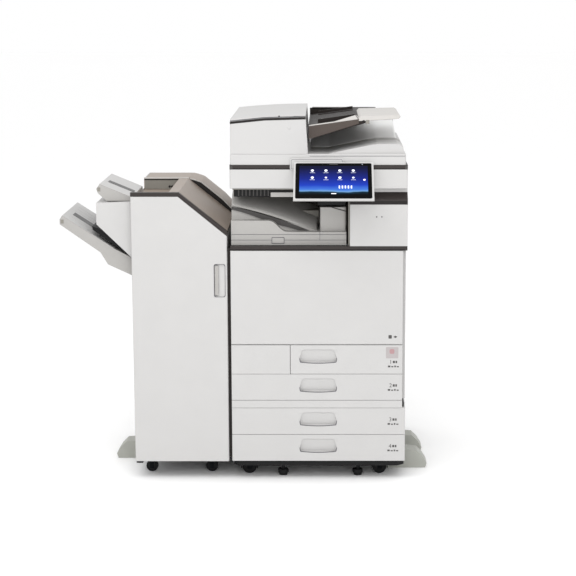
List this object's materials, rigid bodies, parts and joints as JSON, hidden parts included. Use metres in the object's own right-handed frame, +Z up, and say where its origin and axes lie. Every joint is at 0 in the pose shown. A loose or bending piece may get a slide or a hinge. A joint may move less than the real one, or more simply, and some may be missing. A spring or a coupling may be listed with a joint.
{
  "type": "photocopier",
  "caption": "Floor-standing office photocopier with document feeder, tilting touch panel, paper trays and a left-hand finisher with two output trays.",
  "frame": {"origin": "on the floor under the middle of the whole machine's box", "axes": "+X to the machine's right, +Y to the rear, +Z up"},
  "size_m": [1.218, 0.835, 1.21],
  "materials": {
    "white_abs": "fine spark texture",
    "dark_trim": "satin",
    "taupe_cover": "satin",
    "light_grey_plastic": "fine texture",
    "mid_grey_plastic": "fine texture",
    "feeder_brown": "satin",
    "black_plastic": "satin",
    "foot_grey": "fine texture",
    "caster_rubber": "matt",
    "roller_rubber": "matt",
    "frame_steel": "zinc plated",
    "platen_glass": "clear",
    "screen_glass": "gloss",
    "cushion_white": "smooth foil",
    "toner_black": "satin",
    "belt_black": "smooth"
  },
  "bodies": {
    "chassis": {"base_skirt": "black_plastic", "body_trims": "dark_trim", "bridge_unit": "light_grey_plastic", "drum_units": "black_plastic", "exit_liner": "mid_grey_plastic", "finisher_frame": "frame_steel", "finisher_rear_cover": "white_abs", "finisher_side_covers": "white_abs", "finisher_top_cover": "taupe_cover", "finisher_trims": "dark_trim", "front_fixed_panels": "white_abs", "front_right_cover": "white_abs", "fuser_unit": "mid_grey_plastic", "hinge_pins": "frame_steel", "main_frame": "frame_steel", "panel_arm": "white_abs", "platen_glass": "platen_glass", "power_inlet": "black_plastic", "proof_tray": "light_grey_plastic", "rear_cover": "white_abs", "scanner_housing": "white_abs", "side_covers": "white_abs", "stabiliser_feet": "foot_grey", "toner_bottles": "toner_black", "transfer_belt": "belt_black"},
    "front_door": {"front_door": "white_abs"},
    "right_door": {"right_door": "white_abs"},
    "bypass_tray": {"bypass_tray": "white_abs"},
    "tray_1": {"tray_1_front": "white_abs", "tray_1_box": "light_grey_plastic"},
    "tray_2": {"tray_2_front": "white_abs", "tray_2_box": "light_grey_plastic"},
    "tray_3": {"tray_3_front": "white_abs", "tray_3_box": "light_grey_plastic"},
    "tray_4": {"tray_4_front": "white_abs", "tray_4_box": "light_grey_plastic"},
    "panel": {"panel_housing": "white_abs", "touch_screen": "screen_glass"},
    "scan_carriage": {"scan_carriage": "black_plastic"},
    "feeder": {"adf_base": "white_abs", "adf_feeder_body": "white_abs", "platen_cushion": "cushion_white"},
    "feeder_cover": {"adf_top_cover": "white_abs"},
    "document_tray": {"document_tray": "feeder_brown"},
    "document_guide_front": {"document_guide_front": "feeder_brown"},
    "document_guide_rear": {"document_guide_rear": "feeder_brown"},
    "feed_roller": {"feed_roller": "roller_rubber"},
    "finisher_door": {"finisher_door": "white_abs"},
    "shift_tray": {"shift_tray": "light_grey_plastic"},
    "stapler": {"stapler": "mid_grey_plastic"},
    "finisher_wheels_left": {"finisher_wheels_left": "caster_rubber"},
    "finisher_wheels_right": {"finisher_wheels_right": "caster_rubber"},
    "caster_front_left": {"caster_fork_front_left": "frame_steel"},
    "wheel_front_left": {"caster_wheel_front_left": "caster_rubber"},
    "caster_front_right": {"caster_fork_front_right": "frame_steel"},
    "wheel_front_right": {"caster_wheel_front_right": "caster_rubber"},
    "caster_rear_left": {"caster_fork_rear_left": "frame_steel"},
    "wheel_rear_left": {"caster_wheel_rear_left": "caster_rubber"},
    "caster_rear_right": {"caster_fork_rear_right": "frame_steel"},
    "wheel_rear_right": {"caster_wheel_rear_right": "caster_rubber"}
  },
  "joints": [
    {"name": "front_door_hinge", "type": "hinge", "parent": "chassis", "child": "front_door", "pos_m": [0.2355, -0.2615, 0.463], "axis": [1, 0, 0], "range_deg": [0, 90]},
    {"name": "right_door_hinge", "type": "hinge", "parent": "chassis", "child": "right_door", "pos_m": [0.521, 0, 0.28], "axis": [0, 1, 0], "range_deg": [0, 40]},
    {"name": "bypass_tray_hinge", "type": "hinge", "parent": "right_door", "child": "bypass_tray", "pos_m": [0.5245, 0.06, 0.467], "axis": [0, 1, 0], "range_deg": [0, 60]},
    {"name": "tray_1_slide", "type": "slide", "parent": "chassis", "child": "tray_1", "axis": [0, -1, 0], "range_m": [0, 0.45]},
    {"name": "tray_2_slide", "type": "slide", "parent": "chassis", "child": "tray_2", "axis": [0, -1, 0], "range_m": [0, 0.45]},
    {"name": "tray_3_slide", "type": "slide", "parent": "chassis", "child": "tray_3", "axis": [0, -1, 0], "range_m": [0, 0.45]},
    {"name": "tray_4_slide", "type": "slide", "parent": "chassis", "child": "tray_4", "axis": [0, -1, 0], "range_m": [0, 0.45]},
    {"name": "panel_tilt", "type": "hinge", "parent": "chassis", "child": "panel", "pos_m": [0.2895, -0.29402, 1.02176], "axis": [1, 0, 0], "range_deg": [0, 30]},
    {"name": "scan_carriage_slide", "type": "slide", "parent": "chassis", "child": "scan_carriage", "axis": [1, 0, 0], "range_m": [0, 0.44]},
    {"name": "feeder_hinge", "type": "hinge", "parent": "chassis", "child": "feeder", "pos_m": [0.2355, 0.3945, 1.055], "axis": [-1, 0, 0], "range_deg": [0, 65]},
    {"name": "feeder_cover_hinge", "type": "hinge", "parent": "feeder", "child": "feeder_cover", "pos_m": [-0.0435, 0.0275, 1.189], "axis": [0, -1, 0], "range_deg": [0, 70]},
    {"name": "document_tray_hinge", "type": "hinge", "parent": "feeder", "child": "document_tray", "pos_m": [0.2085, 0.025, 1.175], "axis": [0, -1, 0], "range_deg": [0, 25]},
    {"name": "document_guide_front_slide", "type": "slide", "parent": "document_tray", "child": "document_guide_front", "axis": [0, 1, 0], "range_m": [0, 0.14]},
    {"name": "document_guide_rear_slide", "type": "slide", "parent": "document_tray", "child": "document_guide_rear", "axis": [0, 1, 0], "range_m": [-0.14, 0]},
    {"name": "feed_roller_spin", "type": "hinge", "parent": "feeder", "child": "feed_roller", "pos_m": [0.1465, 0.0275, 1.17], "axis": [0, 1, 0], "continuous": true},
    {"name": "finisher_door_hinge", "type": "hinge", "parent": "chassis", "child": "finisher_door", "pos_m": [-0.3625, -0.2555, 0.5], "axis": [0, 0, -1], "range_deg": [0, 110]},
    {"name": "shift_tray_lift", "type": "slide", "parent": "chassis", "child": "shift_tray", "axis": [0, 0, -1], "range_m": [0, 0.43]},
    {"name": "stapler_slide", "type": "slide", "parent": "chassis", "child": "stapler", "axis": [0, 1, 0], "range_m": [0, 0.3]},
    {"name": "finisher_wheels_left_spin", "type": "hinge", "parent": "chassis", "child": "finisher_wheels_left", "pos_m": [-0.3235, 0.051, 0.02], "axis": [0, 1, 0], "continuous": true},
    {"name": "finisher_wheels_right_spin", "type": "hinge", "parent": "chassis", "child": "finisher_wheels_right", "pos_m": [-0.1205, 0.051, 0.02], "axis": [0, 1, 0], "continuous": true},
    {"name": "caster_front_left_swivel", "type": "hinge", "parent": "chassis", "child": "caster_front_left", "pos_m": [0.0215, -0.1915, 0.058], "axis": [0, 0, 1], "continuous": true},
    {"name": "wheel_front_left_spin", "type": "hinge", "parent": "caster_front_left", "child": "wheel_front_left", "pos_m": [0.0075, -0.1915, 0.024], "axis": [0, 1, 0], "continuous": true},
    {"name": "caster_rear_left_swivel", "type": "hinge", "parent": "chassis", "child": "caster_rear_left", "pos_m": [0.0215, 0.3325, 0.058], "axis": [0, 0, 1], "continuous": true},
    {"name": "wheel_rear_left_spin", "type": "hinge", "parent": "caster_rear_left", "child": "wheel_rear_left", "pos_m": [0.0075, 0.3325, 0.024], "axis": [0, 1, 0], "continuous": true},
    {"name": "caster_front_right_swivel", "type": "hinge", "parent": "chassis", "child": "caster_front_right", "pos_m": [0.459, -0.1915, 0.058], "axis": [0, 0, 1], "continuous": true},
    {"name": "wheel_front_right_spin", "type": "hinge", "parent": "caster_front_right", "child": "wheel_front_right", "pos_m": [0.445, -0.1915, 0.024], "axis": [0, 1, 0], "continuous": true},
    {"name": "caster_rear_right_swivel", "type": "hinge", "parent": "chassis", "child": "caster_rear_right", "pos_m": [0.459, 0.3325, 0.058], "axis": [0, 0, 1], "continuous": true},
    {"name": "wheel_rear_right_spin", "type": "hinge", "parent": "caster_rear_right", "child": "wheel_rear_right", "pos_m": [0.445, 0.3325, 0.024], "axis": [0, 1, 0], "continuous": true}
  ],
  "couplings": [
    {"joint": "document_guide_rear_slide", "follows": "document_guide_front_slide", "ratio": -1}
  ]
}
